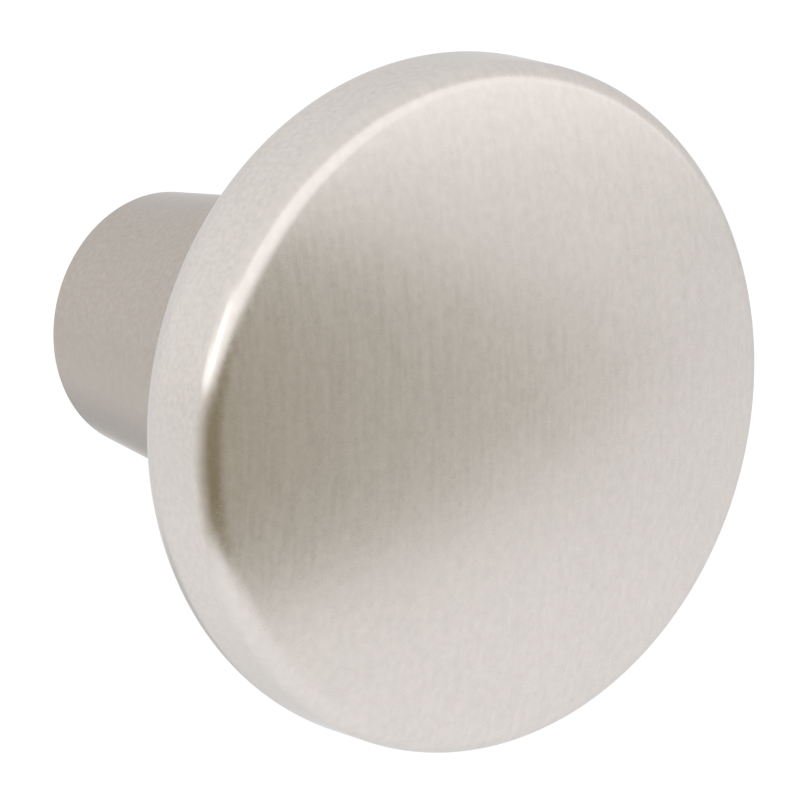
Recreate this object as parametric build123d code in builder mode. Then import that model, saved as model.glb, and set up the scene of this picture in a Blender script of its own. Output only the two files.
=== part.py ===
from build123d import *
import math
import os

# Round cabinet knob, turned in one piece.
# The base lies on the door at y = 0 and the domed face looks along -Y, with +Z up.
# A blind hole in the base takes the screw that comes through the door. Sizes are in millimetres.

# Head
head_diameter = 32.0
projection = 28.6
dome_radius = 50.0
rim_width = 4.8
front_edge_radius = 1.3
rear_edge_radius = 3.0

# Stem
base_diameter = 12.3
stem_length = 14.0
stem_taper_angle = 6.5
neck_radius = 8.0
base_edge_chamfer = 0.3

# Screw hole, with its wall at the root of the thread
screw_diameter = 4.0
thread_root_clearance = 0.05
hole_depth = 13.0
hole_countersink = 0.4
drill_point_angle = 118.0

# Rim corners, before they are rounded
rim_radius = head_diameter / 2
dome_drop = dome_radius - math.sqrt(dome_radius**2 - rim_radius**2)
front_corner = Vector(rim_radius, dome_drop - projection)
rear_corner = front_corner + Vector(0, rim_width)

# Face
face_centre = Vector(0, -projection)
dome_middle_angle = math.asin(rim_radius / dome_radius) / 2
dome_middle = face_centre + Vector(
    dome_radius * math.sin(dome_middle_angle),
    dome_radius * (1 - math.cos(dome_middle_angle)),
)

# Stem corners, before they are rounded
base_corner = Vector(base_diameter / 2, 0)
stem_flare = stem_length * math.tan(math.radians(stem_taper_angle))
neck_corner = base_corner + Vector(stem_flare, -stem_length)

# Screw hole
hole_radius = screw_diameter / 2 + thread_root_clearance
drill_point_depth = hole_radius / math.tan(math.radians(drill_point_angle / 2))


def near(corner):
    """Picks the sketch vertex that lies closest to a corner of the outline."""
    return lambda vertex: (Vector(vertex) - corner).length


with BuildPart() as knob:
    # Half outline of the knob, with its radius along X
    with BuildSketch(Plane.XY) as outline:
        with BuildLine():
            Polyline(face_centre, (0, 0), base_corner, neck_corner, rear_corner, front_corner)
            ThreePointArc(front_corner, dome_middle, face_centre)
        make_face()
        for corner, radius in (
            (neck_corner, neck_radius),
            (rear_corner, rear_edge_radius),
            (front_corner, front_edge_radius),
        ):
            fillet(outline.vertices().sort_by(near(corner))[0], radius)
        chamfer(outline.vertices().sort_by(near(base_corner))[0], base_edge_chamfer)
    revolve(axis=Axis.Y)

    # Drilled hole with a countersunk mouth
    with BuildSketch(Plane.XY):
        with BuildLine():
            Polyline(
                (0, 0),
                (hole_radius + hole_countersink, 0),
                (hole_radius, -hole_countersink),
                (hole_radius, -hole_depth),
                (0, -hole_depth - drill_point_depth),
                close=True,
            )
        make_face()
    revolve(axis=Axis.Y, mode=Mode.SUBTRACT)

knob.part.label = "knob"

os.makedirs("parts", exist_ok=True)
export_step(knob.part, "parts/knob.step")
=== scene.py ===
"""Looks of a round satin nickel cabinet knob: turned body, tapped hole, finishes, stage and camera."""

import math

import bmesh
import bpy
from bpy.props import FloatProperty, FloatVectorProperty, IntProperty, PointerProperty
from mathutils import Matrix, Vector


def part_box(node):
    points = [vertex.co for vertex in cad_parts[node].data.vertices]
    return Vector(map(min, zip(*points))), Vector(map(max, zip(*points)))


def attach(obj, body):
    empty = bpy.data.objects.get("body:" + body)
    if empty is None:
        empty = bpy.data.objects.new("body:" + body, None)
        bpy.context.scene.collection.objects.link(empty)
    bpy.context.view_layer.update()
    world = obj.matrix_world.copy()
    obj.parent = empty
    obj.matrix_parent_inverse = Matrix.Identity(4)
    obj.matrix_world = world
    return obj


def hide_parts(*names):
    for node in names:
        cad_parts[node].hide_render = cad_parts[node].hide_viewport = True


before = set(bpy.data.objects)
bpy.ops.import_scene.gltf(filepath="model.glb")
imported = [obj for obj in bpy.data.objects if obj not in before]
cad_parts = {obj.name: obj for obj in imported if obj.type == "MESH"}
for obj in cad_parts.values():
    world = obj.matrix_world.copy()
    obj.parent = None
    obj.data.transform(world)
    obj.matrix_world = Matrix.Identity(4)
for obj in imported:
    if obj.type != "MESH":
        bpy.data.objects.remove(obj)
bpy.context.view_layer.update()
KNOB_LOW, KNOB_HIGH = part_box("knob")

bl_info = {
    "name": "Cabinet knob",
    "version": (1, 0, 0),
    "blender": (4, 5, 0),
    "location": "3D View > Sidebar > Knob",
    "description": "Turns a round satin nickel cabinet knob and sets its stage and camera",
    "category": "Object",
}

MM = 0.001
WHITE = (1, 1, 1, 1)

# Turned mesh
WELD = 1e-7
ARC_STEP = math.radians(4)
DOME_STEP = ARC_STEP / 6
SHARP_ANGLE = math.radians(25)
KNOB_AXIS = Vector((0, 1, 0))
SKETCH_NORMAL = Vector((0, 0, 1))

# Thread: half its width at root and crest in pitches, how far its root is sunk in the wall, steps in a turn
THREAD_ROOT_HALF = 0.42
THREAD_CREST_HALF = 0.11
THREAD_SINK = 0.02 * MM
THREAD_STEPS = 48

# Places of the body's finishes in its list of materials
FACE_FINISH, RIM_FINISH, HOLE_FINISH = range(3)

# Sockets of a Mix node for colours, which share their names with those for other kinds of value
MIX_FIRST, MIX_SECOND, MIX_RESULT = 6, 7, 2

# Range in which most values of a noise texture lie
NOISE_LOW = 0.2
NOISE_HIGH = 0.8

# Satin grain, with the swings of tone and roughness that each finish gives it
GRAIN_GROUP = "Satin grain"
GRAIN_DETAIL = 0.5
CLOUDS_PER_METRE = 260.0
CLOUD_DETAIL = 3.0
FACE_GRAIN = {"Grain tone": 0.012, "Cloud tone": 0.012, "Roughness spread": 0.02}
RIM_GRAIN = {"Grain tone": 0.06, "Cloud tone": 0.012, "Roughness spread": 0.02}
HOLE_GRAIN = {"Grain tone": 0.05, "Cloud tone": 0.05, "Roughness spread": 0.06}

# Strength and height of each finish's bump
FACE_BUMP = (0.05, 0.003 * MM)
RIM_BUMP = (0.25, 0.003 * MM)
HOLE_BUMP = (0.4, 0.005 * MM)

# Brush streaks: swings of tone and roughness, and the size of a short streak in grain sizes
SHORT_STREAK_TONE = 0.03
LONG_STREAK_TONE = 0.018
LONG_STREAK_ROUGHNESS = 0.02
SHORT_STREAK_WIDTH = 1.4
SHORT_STREAK_LENGTH = 1.8

# Distances from the base at which the stem's painted shade starts to fade and ends, in stem lengths
STEM_SHADE_FADE = 0.75
STEM_SHADE_END = 1.35

# Bare metal in the screw hole, with its tone as a share of the plating's
HOLE_ROUGHNESS = 0.42
HOLE_TONE = 0.8

# Studio paper of the floor
PAPER_ROUGHNESS = 0.95
PAPER_SPECULAR = 0.1
PAPER_MOTTLE = 0.01
MOTTLES_PER_METRE = 40.0
MOTTLE_DETAIL = 3.0

# Where the floor's painted shade starts and where it is full, in metres to the right plus metres to the
# front
FLOOR_SHADE_START = 0.8
FLOOR_SHADE_FULL = 2.0

# Dark card that glows with painted shade for the face to mirror: distance from the knob, and steps along
# the card
CARD_DISTANCE = 0.6
CARD_STEPS = 48

# Azimuth and elevation of points on the card's edges, in degrees as seen from the knob
CARD_TOP = ((-139, 3), (-55, 6.5), (-32, 13), (10, 10.5), (58, -10))
CARD_BOTTOM = ((-139, -36.5), (-40, -36), (10, -26.6), (58, -10))

# Azimuths between which the card turns from dark to pale, towards its left and its right end
CARD_LEFT_FADE = (-62, -129.4)
CARD_RIGHT_FADE = (-35, 83)

# Softboxes: distance from the knob, and azimuth, elevation, width and height in degrees as seen from it
SOFTBOX_DISTANCE = 0.9
KEY_SOFTBOX = (-101.9, 5, 27.3, 20.3)
SIDE_SOFTBOX = (-86, 20.2, 20, 20.2)
FRONT_SOFTBOX = (-7.9, 39, 160, 38.1)

# Camera: width of its sensor in millimetres, and the nearest that it sees
SENSOR_WIDTH = 36
CLIP_START = 0.01


# Sizes and colours that a user would change

class KnobSizes(bpy.types.PropertyGroup):
    """Sizes of the turned body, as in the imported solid."""

    head_diameter: FloatProperty(
        name="Head diameter", description="Across the rim",
        default=KNOB_HIGH.x - KNOB_LOW.x, subtype="DISTANCE", unit="LENGTH")
    projection: FloatProperty(
        name="Projection", description="From the door to the middle of the face",
        default=-KNOB_LOW.y, subtype="DISTANCE", unit="LENGTH")
    dome_radius: FloatProperty(
        name="Dome radius", description="Radius of the domed face",
        default=50 * MM, subtype="DISTANCE", unit="LENGTH")
    rim_width: FloatProperty(
        name="Rim width", description="Width of the rim before its edges are rounded",
        default=4.8 * MM, subtype="DISTANCE", unit="LENGTH")
    front_edge_radius: FloatProperty(
        name="Front edge radius", description="Rounding between rim and face",
        default=1.3 * MM, subtype="DISTANCE", unit="LENGTH")
    rear_edge_radius: FloatProperty(
        name="Rear edge radius", description="Rounding between rim and back",
        default=3 * MM, subtype="DISTANCE", unit="LENGTH")
    base_diameter: FloatProperty(
        name="Base diameter", description="Across the base that lies on the door",
        default=12.3 * MM, subtype="DISTANCE", unit="LENGTH")
    base_chamfer: FloatProperty(
        name="Base chamfer", description="Chamfer round the base",
        default=0.3 * MM, subtype="DISTANCE", unit="LENGTH")
    stem_length: FloatProperty(
        name="Stem length", description="From the base to the corner of the neck",
        default=14 * MM, subtype="DISTANCE", unit="LENGTH")
    stem_taper: FloatProperty(
        name="Stem taper", description="Angle at which the stem widens towards the head",
        default=math.radians(6.5), subtype="ANGLE", unit="ROTATION")
    neck_radius: FloatProperty(
        name="Neck radius", description="Hollow rounding between stem and head",
        default=8 * MM, subtype="DISTANCE", unit="LENGTH")
    segments: IntProperty(
        name="Segments", description="Steps round the axis", default=256, min=32)


class ScrewHoleSizes(bpy.types.PropertyGroup):
    """Sizes of the blind screw hole and its thread."""

    wall_radius: FloatProperty(
        name="Wall radius", description="Radius at the root of the thread",
        default=2.05 * MM, subtype="DISTANCE", unit="LENGTH")
    depth: FloatProperty(
        name="Depth", description="Depth of the full diameter",
        default=13 * MM, subtype="DISTANCE", unit="LENGTH")
    countersink: FloatProperty(
        name="Countersink", description="Chamfer at the mouth",
        default=0.4 * MM, subtype="DISTANCE", unit="LENGTH")
    drill_angle: FloatProperty(
        name="Drill angle", description="Full angle of the drill point",
        default=math.radians(118), subtype="ANGLE", unit="ROTATION")
    thread_pitch: FloatProperty(
        name="Thread pitch", description="Rise of the thread in one turn",
        default=0.7 * MM, subtype="DISTANCE", unit="LENGTH")
    thread_height: FloatProperty(
        name="Thread height", description="Height of the thread above the wall",
        default=0.4 * MM, subtype="DISTANCE", unit="LENGTH")


class FinishSettings(bpy.types.PropertyGroup):
    """Colours and textures of the plating."""

    nickel: FloatVectorProperty(
        name="Nickel", description="Colour of the satin plating",
        default=(0.64, 0.60, 0.565), size=3, subtype="COLOR", min=0, max=1)
    # Stem colour: the nickel darkened with painted shade for the dimmer light round the stem behind the
    # head
    stem_shaded_nickel: FloatVectorProperty(
        name="Stem nickel", description="Colour of the stem, darkened with painted shade",
        default=(0.45, 0.407, 0.365), size=3, subtype="COLOR", min=0, max=1)
    edge_tint: FloatProperty(
        name="Edge tint", description="How much of the white sheen at grazing angles is left",
        default=0.82, subtype="FACTOR", min=0, max=1)
    face_roughness: FloatProperty(
        name="Face roughness", description="Roughness of the brushed face",
        default=0.28, subtype="FACTOR", min=0, max=1)
    edge_roughness: FloatProperty(
        name="Edge roughness", description="Roughness of the front edge, buffed smoother than the face",
        default=0.23, subtype="FACTOR", min=0, max=1)
    face_anisotropy: FloatProperty(
        name="Face anisotropy", description="How far the brushing stretches reflections",
        default=0.2, subtype="FACTOR", min=0, max=1)
    rim_roughness: FloatProperty(
        name="Rim roughness", description="Roughness of rim, neck and stem",
        default=0.25, subtype="FACTOR", min=0, max=1)
    streak_width: FloatProperty(
        name="Streak width", description="Width of one long brush streak",
        default=0.22 * MM, subtype="DISTANCE", unit="LENGTH")
    streak_length: FloatProperty(
        name="Streak length", description="Length of one long brush streak",
        default=2.4 * MM, subtype="DISTANCE", unit="LENGTH")
    grain_size: FloatProperty(
        name="Grain size", description="Size of the satin grain",
        default=0.25 * MM, subtype="DISTANCE", unit="LENGTH")


class StageSettings(bpy.types.PropertyGroup):
    """Floor, room, softboxes, dark card and camera."""

    floor_drop: FloatProperty(
        name="Floor drop", description="Floor below the knob's axis",
        default=0.45, subtype="DISTANCE", unit="LENGTH")
    floor_reach: FloatProperty(
        name="Floor reach", description="Half the width of the floor",
        default=6.0, subtype="DISTANCE", unit="LENGTH")
    floor_colour: FloatVectorProperty(
        name="Floor colour", description="Colour of the open floor",
        default=(0.95, 0.955, 0.965), size=3, subtype="COLOR", min=0, max=1)
    floor_glow: FloatProperty(
        name="Floor glow", description="White added to the floor where it is seen or mirrored",
        default=0.04, min=0)
    # The floor's dim pool is painted shade, a soft shadow on the floor behind the knob
    shade_pool_level: FloatProperty(
        name="Pool level", description="Tone of the floor's dim pool, as a share of the open floor's",
        default=0.65, subtype="FACTOR", min=0, max=1)
    shade_pool_radius: FloatProperty(
        name="Pool radius", description="Radius of the dim pool inside its soft border",
        default=0.12, subtype="DISTANCE", unit="LENGTH")
    shade_pool_border: FloatProperty(
        name="Pool border", description="Width of the dim pool's soft border",
        default=0.22, subtype="DISTANCE", unit="LENGTH")
    shade_pool_middle: FloatVectorProperty(
        name="Pool middle", description="Middle of the dim pool on the floor, behind the knob",
        default=(0.2, 0.9), size=2, subtype="TRANSLATION", unit="LENGTH")
    # Painted shade: the floor's colour darkens far out to the front right, as light falling off
    floor_shade_fade: FloatProperty(
        name="Floor fade", description="How much dimmer the floor gets far out to the front right",
        default=0.08, subtype="FACTOR", min=0, max=1)
    room_level: FloatProperty(
        name="Room level", description="Brightness of the white room",
        default=1.04, min=0)
    room_slope: FloatProperty(
        name="Room slope", description="How much brighter the room is on the left, and darker on the right",
        default=0.07, min=0)
    key_level: FloatProperty(
        name="Key level", description="Brightness of the left softbox, above the room's",
        default=0.75, min=0)
    side_level: FloatProperty(
        name="Side level", description="Brightness of the upper left softbox, above the room's",
        default=0.7, min=0)
    front_level: FloatProperty(
        name="Front level", description="Brightness of the front softbox, above the room's",
        default=0.40, min=0)
    # The card's colours glow rather than being lit: painted shade that only reflections show
    card_colour: FloatVectorProperty(
        name="Card colour", description="Colour of the dark card that the face mirrors",
        default=(0.290, 0.246, 0.147), size=3, subtype="COLOR", min=0, max=1)
    card_ends: FloatVectorProperty(
        name="Card ends", description="Colour that the card fades towards at both ends",
        default=(0.975, 0.97, 0.955), size=3, subtype="COLOR", min=0, max=1)
    view_azimuth: FloatProperty(
        name="View azimuth", description="Camera round the knob, from straight in front",
        default=math.radians(-37.33), subtype="ANGLE", unit="ROTATION")
    view_elevation: FloatProperty(
        name="View elevation", description="Camera above the horizon",
        default=math.radians(12.29), subtype="ANGLE", unit="ROTATION")
    view_distance: FloatProperty(
        name="View distance", description="Camera from the point that it aims at",
        default=0.4, subtype="DISTANCE", unit="LENGTH")
    view_target: FloatVectorProperty(
        name="View target", description="Point that the camera aims at",
        default=(2.89 * MM, -15.46 * MM, -1.68 * MM), size=3, subtype="TRANSLATION", unit="LENGTH")
    lens: FloatProperty(
        name="Lens", description="Focal length of the camera, in millimetres",
        default=386, subtype="DISTANCE_CAMERA", unit="CAMERA", min=1)


# Geometry

class OutlinePen:
    """Draws a half outline in a bmesh, with the radius along X and the knob's axis along Y."""

    def __init__(self, bm, start):
        self.bm = bm
        self.tip = bm.verts.new(start)

    def line_to(self, end, runs=1):
        """Goes straight to a point, in equal runs."""
        step = (end - self.tip.co) / runs
        for _ in range(runs):
            drawn = bmesh.ops.extrude_vert_indiv(self.bm, verts=[self.tip])["verts"]
            bmesh.ops.translate(self.bm, verts=drawn, vec=step)
            self.tip = drawn[0]

    def arc_to(self, end, centre, step=ARC_STEP):
        """Goes to a point along an arc about a centre, the short way round."""
        start_arm = self.tip.co - centre
        end_arm = end - centre
        turn = math.atan2(start_arm.cross(end_arm).z, start_arm.dot(end_arm))
        drawn = bmesh.ops.spin(
            self.bm, geom=[self.tip], cent=centre, axis=SKETCH_NORMAL, angle=turn,
            steps=math.ceil(abs(turn) / step), use_duplicate=False)
        self.tip = drawn["geom_last"][0]


def rounded_corner(before, corner, after, radius):
    """Start, centre and end of the arc that rounds the corner between two straight runs."""
    back = (before - corner).normalized()
    onward = (after - corner).normalized()
    half_angle = back.angle(onward) / 2
    reach = radius / math.tan(half_angle)
    centre = corner + (back + onward).normalized() * (radius / math.sin(half_angle))
    return corner + back * reach, centre, corner + onward * reach


def rounded_dome_edge(rim_radius, dome_centre, dome_radius, edge_radius):
    """Start, centre and end of the arc between the straight rim and the dome."""
    across = rim_radius - edge_radius
    along = math.sqrt((dome_radius - edge_radius) ** 2 - across ** 2)
    centre = Vector((across, dome_centre.y - along, 0))
    start = Vector((rim_radius, centre.y, 0))
    end = dome_centre + (centre - dome_centre).normalized() * dome_radius
    return start, centre, end


def face_sphere_centre(sizes):
    """Centre of the domed face's sphere."""
    return Vector((0, sizes.dome_radius - sizes.projection, 0))


def front_edge(sizes):
    """Start, centre and end of the rounded front edge."""
    return rounded_dome_edge(
        sizes.head_diameter / 2, face_sphere_centre(sizes), sizes.dome_radius, sizes.front_edge_radius)


def hole_point_depth(hole):
    """Depth of the drill point's tip."""
    return hole.depth + hole.wall_radius / math.tan(hole.drill_angle / 2)


def draw_outline(bm, sizes, hole):
    """Half outline of the knob, from the bottom of the screw hole round to the middle of the face."""
    rim_radius = sizes.head_diameter / 2
    dome = face_sphere_centre(sizes)
    dome_reach = math.sqrt(sizes.dome_radius ** 2 - rim_radius ** 2)
    front_corner = Vector((rim_radius, dome.y - dome_reach, 0))
    rear_corner = front_corner + Vector((0, sizes.rim_width, 0))
    base_corner = Vector((sizes.base_diameter / 2, 0, 0))
    stem_flare = sizes.stem_length * math.tan(sizes.stem_taper)
    neck_corner = base_corner + Vector((stem_flare, -sizes.stem_length, 0))
    stem_run = (neck_corner - base_corner).normalized()

    neck_start, neck_centre, neck_end = rounded_corner(
        base_corner, neck_corner, rear_corner, sizes.neck_radius)
    rear_start, rear_centre, rear_end = rounded_corner(
        neck_corner, rear_corner, front_corner, sizes.rear_edge_radius)
    front_start, front_centre, front_end = front_edge(sizes)

    pen = OutlinePen(bm, Vector((0, -hole_point_depth(hole), 0)))
    pen.line_to(Vector((hole.wall_radius, -hole.depth, 0)), runs=3)
    pen.line_to(Vector((hole.wall_radius, -hole.countersink, 0)), runs=6)
    pen.line_to(Vector((hole.wall_radius + hole.countersink, 0, 0)))
    pen.line_to(base_corner - Vector((sizes.base_chamfer, 0, 0)), runs=3)
    pen.line_to(base_corner + stem_run * sizes.base_chamfer)
    pen.line_to(neck_start, runs=6)
    pen.arc_to(neck_end, neck_centre)
    pen.line_to(rear_start, runs=4)
    pen.arc_to(rear_end, rear_centre)
    pen.line_to(front_start, runs=3)
    pen.arc_to(front_end, front_centre)
    pen.arc_to(Vector((0, -sizes.projection, 0)), dome, step=DOME_STEP)


def spin_about_axis(bm, steps, turns=1.0, advance=0.0):
    """Turns all that is drawn about the knob's axis, as a closed body or along a helix."""
    closed = advance == 0
    bmesh.ops.spin(
        bm, geom=bm.verts[:] + bm.edges[:] + bm.faces[:], cent=(0, 0, 0), axis=KNOB_AXIS,
        dvec=KNOB_AXIS * (advance * turns / steps), angle=math.tau * turns, steps=steps,
        use_merge=closed, use_duplicate=False)


def finish_mesh(bm):
    """Merges doubles, turns the faces outwards and marks what is smooth and what is sharp."""
    bmesh.ops.remove_doubles(bm, verts=bm.verts, dist=WELD)
    bmesh.ops.recalc_face_normals(bm, faces=bm.faces)
    for face in bm.faces:
        face.smooth = True
    for edge in bm.edges:
        if not edge.is_manifold:
            raise RuntimeError("The turned mesh isn't closed")
        edge.smooth = edge.calc_face_angle() < SHARP_ANGLE


def add_object(name, bm, materials):
    """Makes an object of a finished bmesh, with its materials in order."""
    mesh = bpy.data.meshes.new(name)
    bm.to_mesh(mesh)
    bm.free()
    for material in materials:
        mesh.materials.append(material)
    piece = bpy.data.objects.new(name, mesh)
    bpy.context.scene.collection.objects.link(piece)
    return piece


def add_piece(name, bm, materials):
    """Adds a piece of the knob, riding on the knob's body."""
    piece = add_object(name, bm, materials)
    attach(piece, "root")
    return piece


def add_stage_piece(name, bm, material):
    """Adds a piece of the stage, which isn't part of the knob."""
    piece = add_object(name, bm, (material,))
    return piece


# Shader nodes

def new_material(name):
    """A material with an empty node tree, and that tree."""
    material = bpy.data.materials.new(name)
    material.use_nodes = True
    tree = material.node_tree
    tree.nodes.clear()
    return material, tree


def add_node(tree, kind, inputs=None, **settings):
    """Adds a node, sets its settings, and sets or links its inputs by name or number."""
    node = tree.nodes.new(kind)
    for name, value in settings.items():
        setattr(node, name, value)
    for name, value in (inputs or {}).items():
        if isinstance(value, bpy.types.NodeSocket):
            tree.links.new(value, node.inputs[name])
        else:
            node.inputs[name].default_value = value
    return node


def surface_place(tree):
    """Place on the object, in the shared frame."""
    return add_node(tree, "ShaderNodeTexCoord").outputs["Object"]


def parts_of(tree, vector):
    """X, Y and Z of a vector."""
    return add_node(tree, "ShaderNodeSeparateXYZ", {"Vector": vector}).outputs


def math_node(tree, operation, first, second):
    """A Math node's result."""
    return add_node(tree, "ShaderNodeMath", {0: first, 1: second}, operation=operation).outputs[0]


def map_range(tree, value, low, high, to_low=0.0, to_high=1.0, **settings):
    """A value taken from one range to another, straight and held at the ends unless set otherwise."""
    return add_node(
        tree, "ShaderNodeMapRange",
        {"Value": value, "From Min": low, "From Max": high, "To Min": to_low, "To Max": to_high},
        **settings).outputs["Result"]


def noise(tree, place, scale, detail):
    """A noise texture's value."""
    return add_node(
        tree, "ShaderNodeTexNoise", {"Vector": place, "Scale": scale, "Detail": detail}).outputs["Fac"]


def swing(tree, value, amount, middle=1.0):
    """A noise value as a swing about a middle."""
    return map_range(
        tree, value, NOISE_LOW, NOISE_HIGH, middle - amount, middle + amount, clamp=False)


def tint(tree, colour, factor):
    """A colour times a grey factor."""
    return add_node(
        tree, "ShaderNodeMix", {"Factor": 1.0, MIX_FIRST: colour, MIX_SECOND: factor},
        data_type="RGBA", blend_type="MULTIPLY").outputs[MIX_RESULT]


def blend(tree, factor, first, second):
    """A colour between two, by a factor."""
    return add_node(
        tree, "ShaderNodeMix", {"Factor": factor, MIX_FIRST: (*first, 1), MIX_SECOND: (*second, 1)},
        data_type="RGBA").outputs[MIX_RESULT]


def bump(tree, height, strength, distance):
    """A normal that stands up with a height."""
    return add_node(
        tree, "ShaderNodeBump",
        {"Height": height, "Strength": strength, "Distance": distance}).outputs["Normal"]


def satin_grain_group():
    """Shared plating effect: fine grain and a faint cloudiness, as a tone, a roughness and a height."""
    group = bpy.data.node_groups.new(GRAIN_GROUP, "ShaderNodeTree")
    for name in ("Grain scale", "Grain tone", "Cloud tone", "Roughness", "Roughness spread"):
        socket = group.interface.new_socket(name, in_out="INPUT", socket_type="NodeSocketFloat")
        socket.min_value = 0
    for name in ("Tone", "Roughness", "Height"):
        group.interface.new_socket(name, in_out="OUTPUT", socket_type="NodeSocketFloat")
    given = group.nodes.new("NodeGroupInput").outputs
    place = surface_place(group)
    grain = noise(group, place, given["Grain scale"], GRAIN_DETAIL)
    cloud = noise(group, place, CLOUDS_PER_METRE, CLOUD_DETAIL)
    grain_swing = swing(group, grain, 1.0, middle=0.0)
    cloud_swing = swing(group, cloud, 1.0, middle=0.0)
    grain_tone = math_node(group, "MULTIPLY", grain_swing, given["Grain tone"])
    cloud_tone = math_node(group, "MULTIPLY", cloud_swing, given["Cloud tone"])
    tone = math_node(group, "ADD", 1.0, math_node(group, "ADD", grain_tone, cloud_tone))
    spread = math_node(group, "MULTIPLY", grain_swing, given["Roughness spread"])
    roughness = math_node(group, "ADD", given["Roughness"], spread)
    add_node(group, "NodeGroupOutput", {"Tone": tone, "Roughness": roughness, "Height": grain})
    return group


def satin_grain(tree, finish, roughness, swings):
    """Places the shared satin grain in a material with its own values, and gives its outputs."""
    group = bpy.data.node_groups.get(GRAIN_GROUP) or satin_grain_group()
    return add_node(
        tree, "ShaderNodeGroup",
        {"Grain scale": 1 / finish.grain_size, "Roughness": roughness, **swings},
        node_tree=group).outputs


def streaks(tree, place, width, length):
    """Noise drawn out into upright streaks."""
    stretched = add_node(
        tree, "ShaderNodeMapping",
        {"Vector": place, "Scale": (1 / width, 1 / length, 1 / length)}).outputs["Vector"]
    return noise(tree, stretched, scale=1.0, detail=0.0)


def metal_shader(tree, finish, colour, roughness, normal):
    """A metallic Principled shader wired to the material's output."""
    edge = finish.edge_tint
    shader = add_node(
        tree, "ShaderNodeBsdfPrincipled",
        {"Base Color": colour, "Metallic": 1.0, "Roughness": roughness, "Normal": normal,
         "Specular Tint": (edge, edge, edge, 1)})
    add_node(tree, "ShaderNodeOutputMaterial", {"Surface": shader.outputs["BSDF"]})
    return shader


# Materials

def brushed_face_material(finish, sizes):
    """Nickel brushed upright: streaks over the satin grain, and a front edge that is buffed smoother."""
    material, tree = new_material("brushed_face")
    place = surface_place(tree)
    grain = satin_grain(tree, finish, finish.face_roughness, FACE_GRAIN)
    short = streaks(
        tree, place, finish.grain_size * SHORT_STREAK_WIDTH, finish.grain_size * SHORT_STREAK_LENGTH)
    long = streaks(tree, place, finish.streak_width, finish.streak_length)

    short_tone = swing(tree, short, SHORT_STREAK_TONE)
    long_tone = swing(tree, long, LONG_STREAK_TONE)
    tone = math_node(tree, "MULTIPLY", short_tone, long_tone)
    tone = math_node(tree, "MULTIPLY", tone, grain["Tone"])
    colour = tint(tree, (*finish.nickel, 1), tone)

    edge_start, _, edge_end = front_edge(sizes)
    on_edge = map_range(
        tree, parts_of(tree, place)["Y"], edge_end.y, (edge_end.y + edge_start.y) / 2,
        interpolation_type="SMOOTHSTEP")
    buffing = math_node(tree, "MULTIPLY", on_edge, finish.edge_roughness - finish.face_roughness)
    streak_roughness = swing(tree, long, LONG_STREAK_ROUGHNESS, middle=0.0)
    roughness = math_node(tree, "ADD", grain["Roughness"], streak_roughness)
    roughness = math_node(tree, "ADD", roughness, buffing)

    shader = metal_shader(tree, finish, colour, roughness, bump(tree, short, *FACE_BUMP))
    shader.inputs["Anisotropic"].default_value = finish.face_anisotropy
    across = add_node(tree, "ShaderNodeTangent", direction_type="RADIAL", axis="Z").outputs["Tangent"]
    tree.links.new(across, shader.inputs["Tangent"])
    return material


def satin_rim_material(finish, sizes):
    """Nickel with a soft satin grain, darkened on the stem with painted shade."""
    material, tree = new_material("satin_rim")
    along = parts_of(tree, surface_place(tree))["Y"]
    # Painted shade: the stem is darkened from the base, fading out across the neck
    stem_shade_mask = map_range(
        tree, along, -sizes.stem_length * STEM_SHADE_END, -sizes.stem_length * STEM_SHADE_FADE,
        interpolation_type="SMOOTHSTEP")
    plating = blend(tree, stem_shade_mask, finish.nickel, finish.stem_shaded_nickel)
    grain = satin_grain(tree, finish, finish.rim_roughness, RIM_GRAIN)
    colour = tint(tree, plating, grain["Tone"])
    metal_shader(tree, finish, colour, grain["Roughness"], bump(tree, grain["Height"], *RIM_BUMP))
    return material


def screw_hole_material(finish):
    """Drilled and tapped metal, duller and deeper in tone than the plating."""
    material, tree = new_material("screw_hole")
    grain = satin_grain(tree, finish, HOLE_ROUGHNESS, HOLE_GRAIN)
    alloy = [part * HOLE_TONE for part in finish.nickel]
    colour = tint(tree, (*alloy, 1), grain["Tone"])
    metal_shader(tree, finish, colour, grain["Roughness"], bump(tree, grain["Height"], *HOLE_BUMP))
    return material


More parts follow.
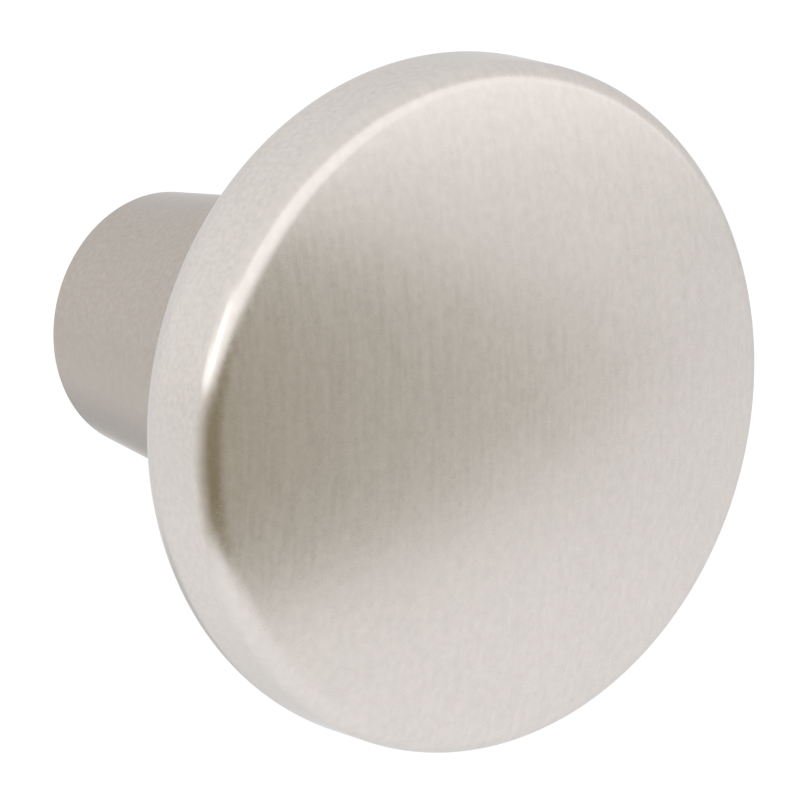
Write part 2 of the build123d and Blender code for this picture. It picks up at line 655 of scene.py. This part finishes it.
def floor_material(stage):
    """Pale mottled paper, with painted shade in a soft pool behind the knob and far out to the front right.

    The glow whitens it where a camera, glossy or transmission ray meets it, and lights nothing else.
    """
    material, tree = new_material("floor_paper")
    place = surface_place(tree)
    # Painted shade: a soft darker pool on the floor behind the knob
    shade_pool_centre = (*stage.shade_pool_middle, -stage.floor_drop)
    shade_pool_reach = add_node(
        tree, "ShaderNodeVectorMath", {0: place, 1: shade_pool_centre}, operation="DISTANCE").outputs["Value"]
    open_floor = map_range(tree, shade_pool_reach, stage.shade_pool_radius, stage.shade_pool_radius + stage.shade_pool_border)
    shade_pool_colour = [part * stage.shade_pool_level for part in stage.floor_colour]
    paper = blend(tree, open_floor, shade_pool_colour, stage.floor_colour)

    # Painted shade: the floor darkens far out to the front right
    spot = parts_of(tree, place)
    outwards = math_node(tree, "SUBTRACT", spot["X"], spot["Y"])
    fade = map_range(tree, outwards, FLOOR_SHADE_START, FLOOR_SHADE_FULL, 1.0, 1 - stage.floor_shade_fade)
    mottle = swing(tree, noise(tree, place, MOTTLES_PER_METRE, MOTTLE_DETAIL), PAPER_MOTTLE)
    colour = tint(tree, tint(tree, paper, fade), mottle)

    ray = add_node(tree, "ShaderNodeLightPath").outputs
    seen = math_node(tree, "MAXIMUM", ray["Is Camera Ray"], ray["Is Glossy Ray"])
    seen = math_node(tree, "MAXIMUM", seen, ray["Is Transmission Ray"])
    glow = math_node(tree, "MULTIPLY", seen, stage.floor_glow)
    shader = add_node(
        tree, "ShaderNodeBsdfPrincipled",
        {"Base Color": colour, "Roughness": PAPER_ROUGHNESS, "Specular IOR Level": PAPER_SPECULAR,
         "Emission Color": WHITE, "Emission Strength": glow})
    add_node(tree, "ShaderNodeOutputMaterial", {"Surface": shader.outputs["BSDF"]})
    material.cycles.emission_sampling = "NONE"
    return material


def card_material(stage):
    """Dark card that glows with an even tone of its own, as painted shade for the face to mirror, and fades
    towards a pale tone at both ends, by the azimuth from the knob.
    """
    material, tree = new_material("dark_card")
    spot = parts_of(tree, surface_place(tree))
    forwards = math_node(tree, "MULTIPLY", spot["Y"], -1.0)
    azimuth = math_node(tree, "ARCTAN2", spot["X"], forwards)
    left_fade = map_range(tree, azimuth, *map(math.radians, CARD_LEFT_FADE))
    right_fade = map_range(tree, azimuth, *map(math.radians, CARD_RIGHT_FADE))
    pale = math_node(tree, "ADD", left_fade, right_fade)
    colour = blend(tree, pale, stage.card_colour, stage.card_ends)
    # Painted shade: the card glows with this tone for the face to mirror, and is not lit
    shader = add_node(tree, "ShaderNodeEmission", {"Color": colour, "Strength": 1.0})
    add_node(tree, "ShaderNodeOutputMaterial", {"Surface": shader.outputs["Emission"]})
    material.cycles.emission_sampling = "NONE"
    return material


# Stage

def towards(azimuth, elevation):
    """Direction from the knob at an azimuth from straight in front and an elevation."""
    outwards = math.cos(elevation)
    return Vector((math.sin(azimuth) * outwards, -math.cos(azimuth) * outwards, math.sin(elevation)))


def facing(direction):
    """Rotation that looks back along a direction."""
    return (-direction).to_track_quat("-Z", "Y").to_euler()


def elevation_at(azimuth, edge):
    """Elevation of one of the card's edges at an azimuth, straight between its points."""
    for (start, low), (end, high) in zip(edge, edge[1:]):
        if azimuth <= end:
            return low + (high - low) * (azimuth - start) / (end - start)
    return edge[-1][1]


def add_floor(stage):
    """Lays the floor below the knob."""
    bm = bmesh.new()
    bmesh.ops.create_grid(bm, x_segments=1, y_segments=1, size=stage.floor_reach)
    bmesh.ops.translate(bm, verts=bm.verts, vec=(0, 0, -stage.floor_drop))
    add_stage_piece("floor", bm, floor_material(stage))


def add_card(stage):
    """Bends the dark card round the knob, where only reflections show it."""
    bm = bmesh.new()
    bmesh.ops.create_grid(bm, x_segments=CARD_STEPS, y_segments=1, size=1)
    left_end, right_end = CARD_TOP[0][0], CARD_TOP[-1][0]
    for vert in bm.verts:
        azimuth = left_end + (right_end - left_end) * (vert.co.x + 1) / 2
        elevation = elevation_at(azimuth, CARD_TOP if vert.co.y > 0 else CARD_BOTTOM)
        vert.co = towards(math.radians(azimuth), math.radians(elevation)) * CARD_DISTANCE
    bmesh.ops.remove_doubles(bm, verts=bm.verts, dist=WELD)
    card = add_stage_piece("dark_card", bm, card_material(stage))
    card.visible_camera = False
    card.visible_diffuse = False
    card.visible_shadow = False


def add_softbox(name, level, angles):
    """Adds a rectangular light that faces the knob at the given angles, a level brighter than the room."""
    azimuth, elevation, width, height = map(math.radians, angles)
    light = bpy.data.lights.new(name, "AREA")
    light.shape = "RECTANGLE"
    light.size = 2 * SOFTBOX_DISTANCE * math.tan(width / 2)
    light.size_y = 2 * SOFTBOX_DISTANCE * math.tan(height / 2)
    light.energy = level * math.pi * light.size * light.size_y
    lamp = bpy.data.objects.new(name, light)
    bpy.context.scene.collection.objects.link(lamp)
    direction = towards(azimuth, elevation)
    lamp.location = direction * SOFTBOX_DISTANCE
    lamp.rotation_euler = facing(direction)
    lamp.visible_camera = False


def light_room(scene, stage):
    """Sets a white room that is a little brighter on the left."""
    world = bpy.data.worlds.new("white_room")
    world.use_nodes = True
    tree = world.node_tree
    direction = add_node(tree, "ShaderNodeTexCoord").outputs["Generated"]
    strength = map_range(
        tree, parts_of(tree, direction)["X"], -1.0, 1.0,
        stage.room_level + stage.room_slope, stage.room_level - stage.room_slope)
    background = tree.nodes["Background"].inputs
    background["Color"].default_value = WHITE
    tree.links.new(strength, background["Strength"])
    scene.world = world


def add_camera(scene, stage):
    """Aims the camera at the knob."""
    settings = bpy.data.cameras.new("camera")
    settings.lens = stage.lens
    settings.sensor_width = SENSOR_WIDTH
    settings.clip_start = CLIP_START
    camera = bpy.data.objects.new("camera", settings)
    scene.collection.objects.link(camera)
    direction = towards(stage.view_azimuth, stage.view_elevation)
    camera.location = Vector(stage.view_target) + direction * stage.view_distance
    camera.rotation_euler = facing(direction)
    scene.camera = camera


# Operators

class KNOB_OT_turn_body(bpy.types.Operator):
    """Turns the knob's body with its brushed face, satin rim and stem, and drilled hole"""

    bl_idname = "knob.turn_body"
    bl_label = "Turn body"

    def execute(self, context):
        scene = context.scene
        sizes, hole, finish = scene.knob_sizes, scene.knob_screw_hole, scene.knob_finish
        bm = bmesh.new()
        draw_outline(bm, sizes, hole)
        spin_about_axis(bm, sizes.segments)
        finish_mesh(bm)

        brush_line = front_edge(sizes)[0].y
        hole_tip = -hole_point_depth(hole)
        mouth_radius = hole.wall_radius + hole.countersink
        for face in bm.faces:
            middle = face.calc_center_median()
            if middle.y > hole_tip and math.hypot(middle.x, middle.z) < mouth_radius:
                face.material_index = HOLE_FINISH
            elif middle.y > brush_line:
                face.material_index = RIM_FINISH
            else:
                face.material_index = FACE_FINISH

        body = add_piece("knob_body", bm, (
            brushed_face_material(finish, sizes),
            satin_rim_material(finish, sizes),
            screw_hole_material(finish)))
        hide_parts("knob")
        return {"FINISHED"}


class KNOB_OT_tap_hole(bpy.types.Operator):
    """Adds the thread that stands inwards from the wall of the screw hole"""

    bl_idname = "knob.tap_hole"
    bl_label = "Tap screw hole"

    def execute(self, context):
        hole = context.scene.knob_screw_hole
        root_radius = hole.wall_radius + THREAD_SINK
        crest_radius = hole.wall_radius - hole.thread_height
        root_half = hole.thread_pitch * THREAD_ROOT_HALF
        crest_half = hole.thread_pitch * THREAD_CREST_HALF
        section = (
            (root_radius, -root_half), (crest_radius, -crest_half),
            (crest_radius, crest_half), (root_radius, root_half))
        start = root_half - hole.depth
        turns = (hole.depth - hole.countersink - 2 * root_half) / hole.thread_pitch

        bm = bmesh.new()
        bm.faces.new([bm.verts.new((radius, start + along, 0)) for radius, along in section])
        spin_about_axis(
            bm, steps=math.ceil(turns * THREAD_STEPS), turns=turns, advance=hole.thread_pitch)
        open_edges = [edge for edge in bm.edges if edge.is_boundary]
        bmesh.ops.holes_fill(bm, edges=open_edges, sides=len(section))
        finish_mesh(bm)
        add_piece("screw_thread", bm, (bpy.data.materials["screw_hole"],))
        return {"FINISHED"}


class KNOB_OT_set_stage(bpy.types.Operator):
    """Sets the pale floor, the dark card, the softboxes, the white room and the camera"""

    bl_idname = "knob.set_stage"
    bl_label = "Set stage"

    def execute(self, context):
        scene = context.scene
        stage = scene.knob_stage
        add_floor(stage)
        add_card(stage)
        add_softbox("key_softbox", stage.key_level, KEY_SOFTBOX)
        add_softbox("side_softbox", stage.side_level, SIDE_SOFTBOX)
        add_softbox("front_softbox", stage.front_level, FRONT_SOFTBOX)
        light_room(scene, stage)
        add_camera(scene, stage)
        scene.view_settings.view_transform = "Standard"
        return {"FINISHED"}


class KNOB_PT_panel(bpy.types.Panel):
    """Sizes, finishes and stage of the knob"""

    bl_label = "Cabinet knob"
    bl_idname = "KNOB_PT_panel"
    bl_space_type = "VIEW_3D"
    bl_region_type = "UI"
    bl_category = "Knob"

    def draw(self, context):
        layout = self.layout
        for operator in OPERATORS:
            layout.operator(operator.bl_idname)
        for name in GROUPS:
            settings = getattr(context.scene, name)
            box = layout.box()
            for key in settings.bl_rna.properties.keys():
                if key not in ("rna_type", "name"):
                    box.prop(settings, key)


GROUPS = {
    "knob_sizes": KnobSizes,
    "knob_screw_hole": ScrewHoleSizes,
    "knob_finish": FinishSettings,
    "knob_stage": StageSettings,
}
OPERATORS = (KNOB_OT_turn_body, KNOB_OT_tap_hole, KNOB_OT_set_stage)
CLASSES = (*GROUPS.values(), *OPERATORS, KNOB_PT_panel)


def register():
    for cls in CLASSES:
        bpy.utils.register_class(cls)
    for name, group in GROUPS.items():
        setattr(bpy.types.Scene, name, PointerProperty(type=group))


def unregister():
    for name in GROUPS:
        delattr(bpy.types.Scene, name)
    for cls in reversed(CLASSES):
        bpy.utils.unregister_class(cls)


def main():
    """Builds the knob and its stage."""
    register()
    bpy.ops.knob.turn_body()
    bpy.ops.knob.tap_hole()
    bpy.ops.knob.set_stage()


if __name__ == "__main__":
    main()
